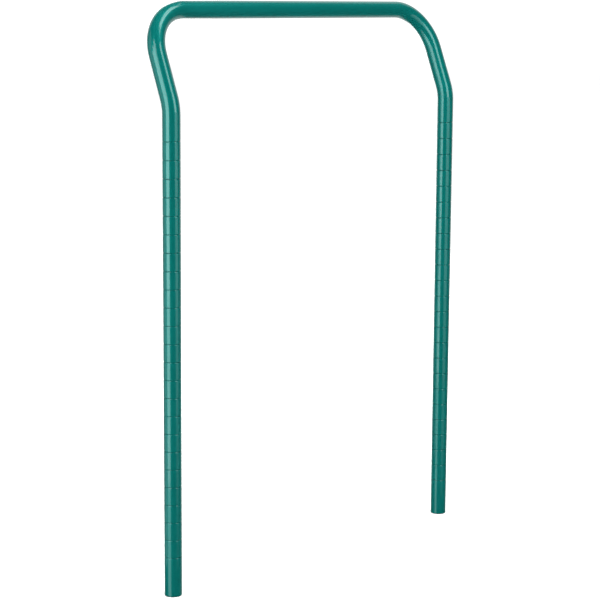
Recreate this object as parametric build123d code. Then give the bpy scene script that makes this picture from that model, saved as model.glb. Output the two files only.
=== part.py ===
from build123d import *
import math
import os

# U-shaped handle post of a wire-shelf utility cart: one steel tube bent into two grooved legs,
# two arms that lean back and a grip bar across the top, with a tapped insert pressed into each leg.
# Frame: origin midway between the leg axes in the plane of the leg ends, +X along the grip bar,
# +Y the way the handle leans, +Z up. Millimetres and degrees.

# The bent tube
tube_od = 25.4
tube_wall = 1.2
leg_spacing = 577.0  # axis to axis
overall_height = 830.0  # leg ends to the top of the grip bar
handle_rise = 155.0  # where the arms start to lean, up to the top of the grip bar
lean_angle = 21.5
lean_radius = 67.0  # of the tube's axis, where each leg turns into its arm
corner_radius = 66.0  # of the tube's axis, where each arm turns into the grip bar
end_round = 0.5  # deburred outer edge of each leg end

# The rolled grooves that shelf collars lock into
groove_pitch = 25.4
groove_width = 1.7
groove_depth = 0.45
lowest_groove = 56.0  # above the leg end
plain_above_grooves = 30.0  # least ungrooved length under the lean

# The stem inserts
insert_fit = 0.0  # radial gap to the tube's bore, a press fit drawn line to line
insert_length = 22.0
insert_lead_in = 1.0  # chamfer at the upper outer edge
relief_length = 7.0  # turned-down waist between the two press bands
relief_depth = 0.6
stem_hole_diameter = 10.72  # tapping hole of a half-inch coarse thread

tube_radius = tube_od / 2
bore_radius = tube_radius - tube_wall
leg_x = leg_spacing / 2
leg_length = overall_height - handle_rise
bar_height = overall_height - tube_radius


def groove_heights():
    """Heights of the grooves' centres, from the lowest up to the last that fits under the lean."""
    room = leg_length - plain_above_grooves - lowest_groove
    return [lowest_groove + i * groove_pitch for i in range(int(room // groove_pitch) + 1)]


def grooved_leg(x):
    """The straight leg at x: its wall's half section turned about the leg's own axis."""
    foot = Line((bore_radius, 0), (tube_radius - end_round, 0))
    rim = ThreePointArc(
        (tube_radius - end_round, 0),
        (tube_radius - end_round * (1 - math.sqrt(0.5)), end_round * (1 - math.sqrt(0.5))),
        (tube_radius, end_round),
    )
    outline = [foot, rim]
    below = end_round
    for height in groove_heights():
        low, high = height - groove_width / 2, height + groove_width / 2
        outline.append(Line((tube_radius, below), (tube_radius, low)))
        outline.append(
            ThreePointArc((tube_radius, low), (tube_radius - groove_depth, height), (tube_radius, high))
        )
        below = high
    outline.append(
        Polyline((tube_radius, below), (tube_radius, leg_length), (bore_radius, leg_length), (bore_radius, 0))
    )
    section = make_face([Plane.XZ * line for line in outline])
    return Pos(x, 0, 0) * revolve(section, Axis.Z)


def handle_path():
    """The tube's axis from the left leg's top, over both arms and the grip bar, to the right leg's top."""
    lean = math.radians(lean_angle)
    up_arm = Vector(0, math.sin(lean), math.cos(lean))
    across = Vector(1, 0, 0)
    leg_top = Vector(-leg_x, 0, leg_length)
    arm_foot = leg_top + Vector(0, lean_radius * (1 - math.cos(lean)), lean_radius * math.sin(lean))
    arm_length = (bar_height - arm_foot.Z) / math.cos(lean) - corner_radius
    arm_top = arm_foot + up_arm * arm_length
    bar_end = arm_top + up_arm * corner_radius + across * corner_radius

    def mirrored(point):
        return Vector(-point.X, point.Y, point.Z)

    return Wire(
        [
            Edge.make_tangent_arc(leg_top, Vector(0, 0, 1), arm_foot),
            Edge.make_line(arm_foot, arm_top),
            Edge.make_tangent_arc(arm_top, up_arm, bar_end),
            Edge.make_line(bar_end, mirrored(bar_end)),
            Edge.make_tangent_arc(mirrored(bar_end), across, mirrored(arm_top)),
            Edge.make_line(mirrored(arm_top), mirrored(arm_foot)),
            Edge.make_tangent_arc(mirrored(arm_foot), -up_arm, mirrored(leg_top)),
        ]
    )


def bent_tube():
    """Both grooved legs joined by the swept handle, one hollow solid from end to end."""
    section = Plane((-leg_x, 0, leg_length)) * (Circle(tube_radius) - Circle(bore_radius))
    handle = sweep(section, path=handle_path())
    return grooved_leg(-leg_x) + handle + grooved_leg(leg_x)


def stem_insert(x):
    """A turned bush flush with the leg end at x, with two press bands and a through hole for the stem."""
    outer = bore_radius - insert_fit
    relief_low = (insert_length - relief_length) / 2
    relief_high = relief_low + relief_length
    hole = stem_hole_diameter / 2
    outline = Polyline(
        (hole, 0),
        (outer, 0),
        (outer, relief_low),
        (outer - relief_depth, relief_low + relief_depth),
        (outer - relief_depth, relief_high - relief_depth),
        (outer, relief_high),
        (outer, insert_length - insert_lead_in),
        (outer - insert_lead_in, insert_length),
        (hole, insert_length),
        close=True,
    )
    return Pos(x, 0, 0) * revolve(make_face(Plane.XZ * outline), Axis.Z)


nodes = {
    "bent_tube": bent_tube(),
    "left_stem_insert": stem_insert(-leg_x),
    "right_stem_insert": stem_insert(leg_x),
}

os.makedirs("parts", exist_ok=True)
for name, shape in nodes.items():
    export_step(shape, f"parts/{name}.step")
print(f"{len(groove_heights())} grooves a leg, the top one at {groove_heights()[-1]:.1f} mm")
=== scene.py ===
import math

import bpy
from mathutils import Matrix, Vector


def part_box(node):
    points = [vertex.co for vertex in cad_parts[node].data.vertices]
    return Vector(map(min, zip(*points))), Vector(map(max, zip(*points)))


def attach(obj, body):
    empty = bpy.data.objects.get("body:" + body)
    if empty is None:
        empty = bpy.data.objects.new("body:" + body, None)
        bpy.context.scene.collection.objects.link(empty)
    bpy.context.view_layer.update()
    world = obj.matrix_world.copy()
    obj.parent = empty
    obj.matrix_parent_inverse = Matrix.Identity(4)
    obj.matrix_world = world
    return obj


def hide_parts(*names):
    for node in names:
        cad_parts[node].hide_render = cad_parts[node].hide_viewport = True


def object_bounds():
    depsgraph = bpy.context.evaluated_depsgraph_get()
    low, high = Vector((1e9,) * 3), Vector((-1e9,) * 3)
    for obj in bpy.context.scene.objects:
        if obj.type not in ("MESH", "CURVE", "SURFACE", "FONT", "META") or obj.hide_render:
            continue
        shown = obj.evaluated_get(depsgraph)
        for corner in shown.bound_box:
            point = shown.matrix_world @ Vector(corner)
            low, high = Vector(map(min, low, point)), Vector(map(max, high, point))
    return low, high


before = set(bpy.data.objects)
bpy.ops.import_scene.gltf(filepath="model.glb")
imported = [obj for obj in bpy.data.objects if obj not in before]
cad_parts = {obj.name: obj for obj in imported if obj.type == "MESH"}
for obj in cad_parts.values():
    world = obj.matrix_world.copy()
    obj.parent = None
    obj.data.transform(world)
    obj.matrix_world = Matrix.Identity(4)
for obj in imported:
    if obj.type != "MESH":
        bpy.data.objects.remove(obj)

cadLow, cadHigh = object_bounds()
mm = 0.001
up, across = Vector((0, 0, 1)), Vector((1, 0, 0))

# what the frame already settles
insertLow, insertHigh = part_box("left_stem_insert")
legAxis = -(insertLow.x + insertHigh.x) / 2
boreRadius = (insertHigh.x - insertLow.x) / 2
tubeRadius = cadHigh.x - legAxis
barHeight = cadHigh.z - tubeRadius
print(f"frame read: legs {2 * legAxis:.3f} m apart, tube radius {tubeRadius:.4f} m")

tube = {
    "sides": 64,
    "legLength": 675.0 * mm,
    "leanAngle": math.radians(21.5),
    "leanRadius": 67.0 * mm,
    "cornerRadius": 66.0 * mm,
    "bendStep": math.radians(2.5),  # between rings round a bend
    "barStep": 20.0 * mm,  # between rings along a straight
    "lowestGroove": 56.0 * mm,
    "groovePitch": 25.4 * mm,
    "grooveCount": 24,
    "grooveWidth": 2.0 * mm,  # over its soft shoulders
    "grooveDepth": 0.45 * mm,
    "grooveRings": 10,
    "shoulder": 0.35 * mm,  # plain ring that keeps the wall beside a groove straight
    "ridge": 0.35 * mm,  # how far a rolled groove stands into the bore
    "rimRound": 0.55 * mm,  # the leg end's outer edge
    "rimSteps": 4,
    "boreBreak": 0.25 * mm,  # the leg end's inner edge
    "cornerFlat": 0.45 * mm,  # the bender presses the inside of each corner a little flat
}


def facing(turn, side, rise):
    # unit vector at an angle round a ring
    return side * math.cos(turn) + rise * math.sin(turn)


class TubeWalk:
    # walks the tube's axis from the left foot to the right foot, leaving a station at every ring
    def __init__(self, start, heading, side):
        self.at, self.heading, self.side = Vector(start), Vector(heading), Vector(side)
        self.travel = 0.0
        self.stations = []

    def leave(self, inset=0.0, flat=0.0, inward=None, inner=True):
        self.stations.append({
            "centre": self.at.copy(),
            "side": self.side.copy(),
            "rise": self.heading.cross(self.side),
            "travel": self.travel,
            "inset": inset,
            "flat": flat,
            "inward": inward,
            "inner": inner,
        })

    def ahead(self, length):
        self.at = self.at + self.heading * length
        self.travel += length

    def straight(self, length):
        steps = max(1, round(length / tube["barStep"]))
        for _ in range(steps):
            self.ahead(length / steps)
            self.leave()

    def bend(self, newHeading, radius, flat=0.0):
        axis = self.heading.cross(newHeading).normalized()
        angle = self.heading.angle(newHeading)
        hub = self.at + axis.cross(self.heading) * radius
        steps = max(3, round(angle / tube["bendStep"]))
        turn = Matrix.Rotation(angle / steps, 3, axis)
        for k in range(1, steps + 1):
            self.at = hub + turn @ (self.at - hub)
            self.heading = turn @ self.heading
            self.side = turn @ self.side
            self.travel += radius * angle / steps
            share = flat * math.sin(math.pi * k / steps) ** 2
            self.leave(flat=share, inward=(hub - self.at).normalized())


def legHeights():
    # (height above the leg end, how far the wall is pressed in there, whether the bore needs it)
    stops = [(tube["rimRound"], 0.0, True)]
    half, rings = tube["grooveWidth"] / 2, tube["grooveRings"]
    for i in range(tube["grooveCount"]):
        middle = tube["lowestGroove"] + i * tube["groovePitch"]
        stops.append((middle - half - tube["shoulder"], 0.0, False))
        for k in range(rings + 1):
            place = 2 * k / rings - 1
            press = tube["grooveDepth"] * (0.5 + 0.5 * math.cos(math.pi * place))
            stops.append((middle + place * half, press, k % 2 == 0))
        stops.append((middle + half + tube["shoulder"], 0.0, False))
    stops.append((tube["legLength"], 0.0, True))
    return stops


def walkTube():
    lean = tube["leanAngle"]
    upArm = Vector((0, math.sin(lean), math.cos(lean)))
    heights = legHeights()
    walk = TubeWalk((-legAxis, 0, 0), up, across)
    reached = 0.0
    for height, press, inner in heights:
        walk.ahead(height - reached)
        walk.leave(inset=press, inner=inner)
        reached = height
    armFoot = tube["legLength"] + tube["leanRadius"] * math.sin(lean)
    armLength = (barHeight - armFoot) / math.cos(lean) - tube["cornerRadius"]
    walk.bend(upArm, tube["leanRadius"])
    walk.straight(armLength)
    walk.bend(across, tube["cornerRadius"], tube["cornerFlat"])
    walk.straight(2 * (legAxis - tube["cornerRadius"]))
    walk.bend(-upArm, tube["cornerRadius"], tube["cornerFlat"])
    walk.straight(armLength)
    walk.bend(-up, tube["leanRadius"])
    reached = tube["legLength"]
    for height, press, inner in reversed(heights[:-1]):
        walk.ahead(reached - height)
        walk.leave(inset=press, inner=inner)
        reached = height
    return walk


class RingMesh:
    # a closed skin of rings, each joined to the next and the last to the first
    def __init__(self, sides):
        self.sides = sides
        self.points, self.marks = [], []

    def ring(self, points, marks):
        self.points.extend(points)
        self.marks.extend(marks)

    def build(self, name):
        count = len(self.points) // self.sides
        faces = []
        for i in range(count):
            low, high = i * self.sides, (i + 1) % count * self.sides
            for k in range(self.sides):
                n = (k + 1) % self.sides
                faces.append((low + k, low + n, high + n, high + k))
        mesh = bpy.data.meshes.new(name)
        mesh.from_pydata([tuple(p) for p in self.points], [], faces)
        for mark in self.marks[0]:
            values = [m[mark] for m in self.marks]
            if isinstance(values[0], float):
                attribute = mesh.attributes.new(mark, "FLOAT", "POINT")
                attribute.data.foreach_set("value", values)
            else:
                attribute = mesh.attributes.new(mark, "FLOAT_VECTOR", "POINT")
                attribute.data.foreach_set("vector", [c for v in values for c in v])
        mesh.validate()
        mesh.update()
        mesh.shade_smooth()
        piece = bpy.data.objects.new(name, mesh)
        bpy.context.collection.objects.link(piece)
        return piece


def turns(sides):
    return [2 * math.pi * k / sides for k in range(sides)]


def tubeRing(skin, station, radius, lift=0.0, bore=False, rim=0.0):
    # lift moves the ring along the leg from its station, for the rounded leg ends
    along = station["side"].cross(station["rise"])
    pressed = station["inset"] / tube["grooveDepth"]
    points, marks = [], []
    for turn in turns(tube["sides"]):
        out = facing(turn, station["side"], station["rise"])
        r = radius - (pressed * tube["ridge"] if bore else station["inset"])
        if station["inward"]:
            r -= station["flat"] * max(0.0, out.dot(station["inward"])) ** 2
        points.append(station["centre"] + out * r + along * lift)
        unrolled = (r * math.cos(turn), r * math.sin(turn), station["travel"] + lift)
        marks.append({"unrolled": unrolled, "pressed": float(pressed), "rim": float(rim)})
    skin.ring(points, marks)


def makeTube():
    walk = walkTube()
    skin = RingMesh(tube["sides"])
    inner = [s for s in walk.stations if s["inner"]]
    left, right = walk.stations[0], walk.stations[-1]
    edge, steps = tube["rimRound"], tube["rimSteps"]
    arc = [math.pi / 2 * k / steps for k in range(1, steps + 1)]
    # (radius, drop below the last station) round the edge of a leg end and into its bore
    rim = [(tubeRadius - edge * (1 - math.cos(a)), edge * math.sin(a)) for a in arc]
    rim.append((boreRadius + tube["boreBreak"], edge))
    rim.append((boreRadius, edge - tube["boreBreak"]))
    for station in walk.stations:
        tubeRing(skin, station, tubeRadius)
    for radius, drop in rim:
        tubeRing(skin, right, radius, lift=drop, rim=1.0)
    for station in reversed(inner):
        tubeRing(skin, station, boreRadius, bore=True)
    for radius, drop in reversed(rim):
        tubeRing(skin, left, radius, lift=-drop, rim=1.0)
    return skin.build("epoxyCoatedTube")


insert = {
    "sides": 96,
    "threadPitch": 25.4 / 13 * mm,
    "threadOuter": 12.7 / 2 * mm,
    "threadInner": 10.72 / 2 * mm,
    "threadCrest": 0.25,  # flat crest and root, as shares of the pitch
    "threadRoot": 0.125,
    "stepsPerPitch": 14,
    "mouthRadius": 6.7 * mm,  # countersunk mouth of the thread
    "outerBreak": 0.3 * mm,  # broken outer edge of the visible face
    "leadIn": 1.0 * mm,
    "reliefLength": 7.0 * mm,
    "reliefDepth": 0.6 * mm,
    "knurlTeeth": 32,
    "knurlDepth": 0.12 * mm,
    "faceRings": 5,
    "sharpFrom": math.radians(35),  # edges steeper than this stay crisp
}


def threadRadius(turn, height):
    # half-inch coarse internal thread: flat crest, 60 degree flanks, flat root
    place = (height / insert["threadPitch"] - turn / (2 * math.pi)) % 1.0
    crest, root = insert["threadCrest"], insert["threadRoot"]
    flank = (1 - crest - root) / 2
    if place < crest:
        share = 0.0
    elif place < crest + flank:
        share = (place - crest) / flank
    elif place < crest + flank + root:
        share = 1.0
    else:
        share = (1 - place) / flank
    return insert["threadInner"] + share * (insert["threadOuter"] - insert["threadInner"])


def makeInsert(name, x):
    low, high = insertLow.z, insertHigh.z
    skin = RingMesh(insert["sides"])
    outer = boreRadius

    def ring(height, radiusAt):
        points, marks = [], []
        for turn in turns(insert["sides"]):
            r = radiusAt(turn)
            flat = (r * math.cos(turn), r * math.sin(turn), height)
            points.append(Vector((x + flat[0], flat[1], flat[2])))
            marks.append({"turned": flat})
        skin.ring(points, marks)

    def mouth(height):
        return insert["mouthRadius"] - min(height - low, high - height)

    def knurled(turn):
        tooth = turn * insert["knurlTeeth"] / (2 * math.pi) % 1.0
        return outer - insert["knurlDepth"] * abs(2 * tooth - 1)

    # the face you see in the leg's end, from its broken edge in to the mouth
    ring(low + insert["outerBreak"], lambda turn: outer)
    faceEdge = outer - insert["outerBreak"]
    for k in range(insert["faceRings"] + 1):
        share = k / insert["faceRings"]
        radius = faceEdge + (insert["mouthRadius"] - faceEdge) * share
        ring(low, lambda turn: radius)
    # up the thread, which runs out into a countersink at each end
    steps = round((high - low) / insert["threadPitch"] * insert["stepsPerPitch"])
    for k in range(1, steps):
        height = low + (high - low) * k / steps
        ring(height, lambda turn: max(threadRadius(turn, height), mouth(height)))
    ring(high, lambda turn: insert["mouthRadius"])
    # down the outside: lead-in, upper knurled band, waist, lower knurled band
    ring(high, lambda turn: outer - insert["leadIn"])
    ring(high - insert["leadIn"], knurled)
    waistLow = (low + high - insert["reliefLength"]) / 2
    waistHigh = waistLow + insert["reliefLength"]
    ring(waistHigh, knurled)
    ring(waistHigh - insert["reliefDepth"], lambda turn: outer - insert["reliefDepth"])
    ring(waistLow + insert["reliefDepth"], lambda turn: outer - insert["reliefDepth"])
    ring(waistLow, knurled)
    ring(low + 2 * insert["outerBreak"], knurled)
    piece = skin.build(name)
    piece.data.set_sharp_from_angle(angle=insert["sharpFrom"])
    return piece


class Wire:
    # a shader socket that can be added, multiplied and so on; each operation adds a Math node
    def __init__(self, finish, socket):
        self.finish, self.socket = finish, socket

    def sum(self, operation, first, second):
        return self.finish.node("Math", {"operation": operation}, {0: first, 1: second})

    def __add__(self, other):
        return self.sum("ADD", self, other)

    def __sub__(self, other):
        return self.sum("SUBTRACT", self, other)

    def __rsub__(self, other):
        return self.sum("SUBTRACT", other, self)

    def __mul__(self, other):
        return self.sum("MULTIPLY", self, other)

    __radd__ = __add__
    __rmul__ = __mul__


class Finish:
    # one material and the nodes it is made of
    def __init__(self, name):
        self.material = bpy.data.materials.new(name)
        self.material.use_nodes = True
        self.tree = self.material.node_tree
        self.tree.nodes.clear()

    def node(self, kind, settings, values, out=0):
        made = self.tree.nodes.new("ShaderNode" + kind)
        for name, value in settings.items():
            setattr(made, name, value)
        for name, value in values.items():
            if isinstance(value, Wire):
                self.tree.links.new(value.socket, made.inputs[name])
            else:
                made.inputs[name].default_value = value
        return Wire(self, made.outputs[out]) if out is not None else made

    def mark(self, name, vector=False):
        # a value or place that the mesh carries
        return self.node("Attribute", {"attribute_name": name}, {}, "Vector" if vector else "Fac")

    def noise(self, place, scale, detail):
        return self.node("TexNoise", {}, {"Vector": place, "Scale": scale, "Detail": detail}, "Fac")

    def stretched(self, place, scale):
        return self.node("VectorMath", {"operation": "MULTIPLY"}, {0: place, 1: scale})

    def between(self, value, low, high):
        # 0 at low, 1 at high and eased between them
        limits = {"Value": value, "From Min": low, "From Max": high}
        return self.node("MapRange", {"interpolation_type": "SMOOTHSTEP"}, limits)

    def blend(self, share, first, second):
        # a Mix node's colours are its inputs 6 and 7, and its output 2
        return self.node("Mix", {"data_type": "RGBA"}, {0: share, 6: first, 7: second}, 2)

    def bump(self, height, distance, strength):
        return self.node("Bump", {}, {"Height": height, "Distance": distance, "Strength": strength})

    def surface(self, values):
        shader = self.node("BsdfPrincipled", {}, values)
        self.node("OutputMaterial", {}, {"Surface": shader}, None)
        return self.material


epoxy = {
    "colour": (0.0003, 0.125, 0.111, 1),
    "paler": (0.0008, 0.143, 0.128, 1),
    "grooveShade": (0.0002, 0.072, 0.064, 1),  # painted shade: darker colour down in the grooves
    "thin": (0.006, 0.120, 0.112, 1),  # where it pulls back from the cut edge
    "metallic": 0.55,  # the bright metal shows a little through the green
    "roughness": 0.34,
    "underGloss": 0.1,  # of the layer under the clear coat
    "coatIor": 1.5,
    "coatRoughness": 0.07,
    "cloudScale": 9.0,  # soft patches, per metre
    "cloudFrom": 0.3,
    "cloudFull": 0.7,
    "cloudRough": 0.05,
    "streakScale": (900.0, 900.0, 14.0),  # fine handling marks that run along the tube
    "scuffFrom": 0.58,
    "scuffFull": 0.72,
    "scuffRough": 0.05,
    "scuffWear": 0.12,  # share of the clear coat that a scuff takes off
    "grooveRough": 0.08,
    "grooveWear": 0.25,
    "palerShare": 0.45,  # how far each colour goes in over the first
    "grooveShadeShare": 0.6,
    "thinShare": 0.7,
    "peel": 3.5 * mm,  # size of the orange peel
    "peelHeight": 0.004 * mm,
    "peelStrength": 0.6,
}


def makeEpoxy():
    coat = Finish("tealEpoxyCoat")
    place = coat.mark("unrolled", vector=True)
    pressed, rim = coat.mark("pressed"), coat.mark("rim")
    clouds = coat.noise(place, epoxy["cloudScale"], detail=2.0)
    streaks = coat.noise(coat.stretched(place, epoxy["streakScale"]), 1.0, detail=2.0)
    peel = coat.noise(place, 1 / epoxy["peel"], detail=1.5)
    tone = coat.between(clouds, epoxy["cloudFrom"], epoxy["cloudFull"])
    colour = coat.blend(tone * epoxy["palerShare"], epoxy["colour"], epoxy["paler"])
    # painted shade: the grooves are darkened by how far they are pressed in
    colour = coat.blend(pressed * epoxy["grooveShadeShare"], colour, epoxy["grooveShade"])
    colour = coat.blend(rim * epoxy["thinShare"], colour, epoxy["thin"])
    scuffs = coat.between(streaks, epoxy["scuffFrom"], epoxy["scuffFull"])
    roughness = epoxy["roughness"] + clouds * epoxy["cloudRough"]
    roughness = roughness + scuffs * epoxy["scuffRough"] + pressed * epoxy["grooveRough"]
    return coat.surface({
        "Base Color": colour,
        "Metallic": epoxy["metallic"],
        "Roughness": roughness,
        "Coat Weight": 1.0 - scuffs * epoxy["scuffWear"] - pressed * epoxy["grooveWear"],
        "Coat Roughness": epoxy["coatRoughness"],
        "Coat IOR": epoxy["coatIor"],
        "Specular IOR Level": epoxy["underGloss"],
        "Normal": coat.bump(peel, epoxy["peelHeight"], epoxy["peelStrength"]),
    })


zinc = {
    "colour": (0.56, 0.56, 0.53, 1),
    "tarnish": (0.40, 0.41, 0.42, 1),
    "roughness": 0.30,
    "toolPitch": 0.35 * mm,  # between the lathe's marks
    "toolDepth": 0.01 * mm,
    "toolStrength": 0.35,
    "toolWander": 1.5,  # how far the marks stray, in radians of their cycle
    "cloudScale": 160.0,
    "gritScale": 2600.0,
    "gritRough": 0.08,
    "tarnishFrom": 0.45,
    "tarnishFull": 0.75,
    "tarnishRough": 0.15,
}


def makeZinc():
    metal = Finish("turnedZincSteel")
    place = metal.mark("turned", vector=True)
    flat = metal.stretched(place, (1.0, 1.0, 0.0))
    radius = metal.node("VectorMath", {"operation": "LENGTH"}, {0: flat}, "Value")
    clouds = metal.noise(place, zinc["cloudScale"], detail=3.0)
    grit = metal.noise(place, zinc["gritScale"], detail=2.0)
    cycle = radius * (2 * math.pi / zinc["toolPitch"]) + clouds * zinc["toolWander"]
    marks = metal.node("Math", {"operation": "SINE"}, {0: cycle})
    tarnish = metal.between(clouds, zinc["tarnishFrom"], zinc["tarnishFull"])
    return metal.surface({
        "Base Color": metal.blend(tarnish, zinc["colour"], zinc["tarnish"]),
        "Metallic": 1.0,
        "Roughness": zinc["roughness"] + tarnish * zinc["tarnishRough"] + grit * zinc["gritRough"],
        "Normal": metal.bump(marks + grit, zinc["toolDepth"], zinc["toolStrength"]),
    })


tubePiece = makeTube()
tubePiece.data.materials.append(makeEpoxy())
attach(tubePiece, "root")
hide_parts("bent_tube")
print(f"tube made: {len(tubePiece.data.polygons)} faces")

zincSteel = makeZinc()
for name, node, x in (
    ("leftStemInsert", "left_stem_insert", -legAxis),
    ("rightStemInsert", "right_stem_insert", legAxis),
):
    bush = makeInsert(name, x)
    bush.data.materials.append(zincSteel)
    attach(bush, "root")
    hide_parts(node)
    print(f"{name} made: {len(bush.data.polygons)} faces")

studio = {
    "floorSize": 30.0,
    "floorDrop": 1.0 * mm,
    "floor": (0.93, 0.93, 0.93, 1),
    "sky": (1.0, 1.0, 1.0, 1),
    "skyStrength": 1.2,
    # each upright light: place on the floor plan, the way it faces (degrees from +Y towards +X),
    # width, and its panels from the lowest up, as bottom, top and brightness, where 1 is white
    "lights": {
        "sideBox": ((-1.5, -0.02), 90, 0.9, (
            (-1.1, -0.18, 1.4), (-0.18, 0.22, 2.9), (0.22, 1.12, 3.8),
        )),
        "sideHigh": ((-1.5, -0.18), 90, 0.75, ((1.12, 1.47, 3.6),)),
        "sideTop": ((-1.5, -0.44), 90, 0.66, ((1.47, 2.1, 3.2),)),
        "frontBox": ((0.29, -1.24), 0, 1.0, (
            (-0.45, -0.25, 0.15), (-0.25, -0.05, 0.35), (-0.05, 0.15, 0.65),
            (0.15, 0.4, 0.9), (0.4, 0.75, 1.2),
        )),
        "frontHigh": ((0.08, -1.24), 0, 0.6, ((0.75, 1.9, 3.8),)),
        "rearPanel": ((-0.78, 0.48), 134, 0.45, ((-0.2, 1.3, 0.6),)),
        "rearBox": ((1.6, 2.6), 212, 0.9, ((-1.0, 3.5, 3.0),)),
        "backWall": ((2.3, 2.3), 225, 10.0, ((-3.0, 4.5, 0.7),)),
    },
    # each light hung above: place, the spot it is turned to, width, height and brightness
    "hung": {
        "overhead": ((0, 0, 2.8), (0, 0, 0), 2.2, 2.2, 7.5),
        "ceiling": ((0.45, -0.55, 2.8), (0.45, -0.55, 0), 1.5, 1.5, 1.6),
        "cornerBox": ((0.27, -0.62, 2.15), (-0.27, 0.04, 0.81), 0.85, 0.75, 3.6),
    },
    "reflectedOnly": ("rearPanel", "rearBox", "backWall", "ceiling"),
    "neverReflected": ("overhead",),
}


def makeFloor():
    half = studio["floorSize"] / 2
    mesh = bpy.data.meshes.new("studioFloor")
    corners = [(-half, -half), (half, -half), (half, half), (-half, half)]
    mesh.from_pydata([(x, y, -studio["floorDrop"]) for x, y in corners], [], [(0, 1, 2, 3)])
    floor = bpy.data.objects.new("studioFloor", mesh)
    bpy.context.collection.objects.link(floor)
    paint = Finish("studioPaint")
    mesh.materials.append(paint.surface({"Base Color": studio["floor"], "Roughness": 1.0}))
    floor.visible_glossy = False
    floor.visible_shadow = False


def makePanel(name, place, towards, width, height, brightness):
    lamp = bpy.data.lights.new(name, "AREA")
    lamp.shape, lamp.size, lamp.size_y = "RECTANGLE", width, height
    lamp.energy = math.pi * width * height * brightness  # watts, for a face of that brightness
    panel = bpy.data.objects.new(name, lamp)
    panel.location = place
    panel.rotation_euler = towards.to_track_quat("-Z", "Y").to_euler()
    panel.visible_camera = False
    bpy.context.collection.objects.link(panel)
    return panel


def makeLights():
    world = bpy.data.worlds.new("studioSky")
    bpy.context.scene.world = world
    world.use_nodes = True
    background = world.node_tree.nodes["Background"]
    background.inputs["Color"].default_value = studio["sky"]
    background.inputs["Strength"].default_value = studio["skyStrength"]
    world.cycles_visibility.glossy = False
    for name, (foot, turn, width, panels) in studio["lights"].items():
        towards = Vector((math.sin(math.radians(turn)), math.cos(math.radians(turn)), 0))
        for bottom, top, brightness in panels:
            place = (*foot, (bottom + top) / 2)
            panel = makePanel(name, place, towards, width, top - bottom, brightness)
            # what shines up through the floor is only there to be reflected
            panel.visible_diffuse = name not in studio["reflectedOnly"] and top > 0
    for name, (place, aim, width, height, brightness) in studio["hung"].items():
        panel = makePanel(name, place, Vector(aim) - Vector(place), width, height, brightness)
        panel.visible_diffuse = name not in studio["reflectedOnly"]
        panel.visible_glossy = name not in studio["neverReflected"]


view = {
    "place": (-1.8620, -1.7993, 0.8343),
    "yaw": math.radians(45.39),  # from +Y towards +X
    "down": math.radians(8.235),
    "roll": math.radians(0.35),
    "lens": 105.30,
    "sensor": 36.0,
    "shiftDown": 0.08,
    "farthest": 100.0,
}


def makeCamera():
    camera = bpy.data.cameras.new("camera")
    camera.sensor_width, camera.lens = view["sensor"], view["lens"]
    camera.shift_y = -view["shiftDown"]
    camera.clip_end = view["farthest"]
    eye = bpy.data.objects.new("camera", camera)
    yaw, down, roll = view["yaw"], view["down"], view["roll"]
    look = Vector((math.sin(yaw) * math.cos(down), math.cos(yaw) * math.cos(down), -math.sin(down)))
    right = Vector((math.cos(yaw), -math.sin(yaw), 0))
    top = right.cross(look)
    rolledRight = right * math.cos(roll) + top * math.sin(roll)
    rolledTop = rolledRight.cross(look)
    turned = Matrix((rolledRight, rolledTop, -look)).transposed().to_4x4()
    eye.matrix_world = Matrix.Translation(view["place"]) @ turned
    bpy.context.collection.objects.link(eye)
    bpy.context.scene.camera = eye


makeFloor()
makeLights()
makeCamera()
bpy.context.scene.view_settings.view_transform = "Standard"
print("studio and camera set")
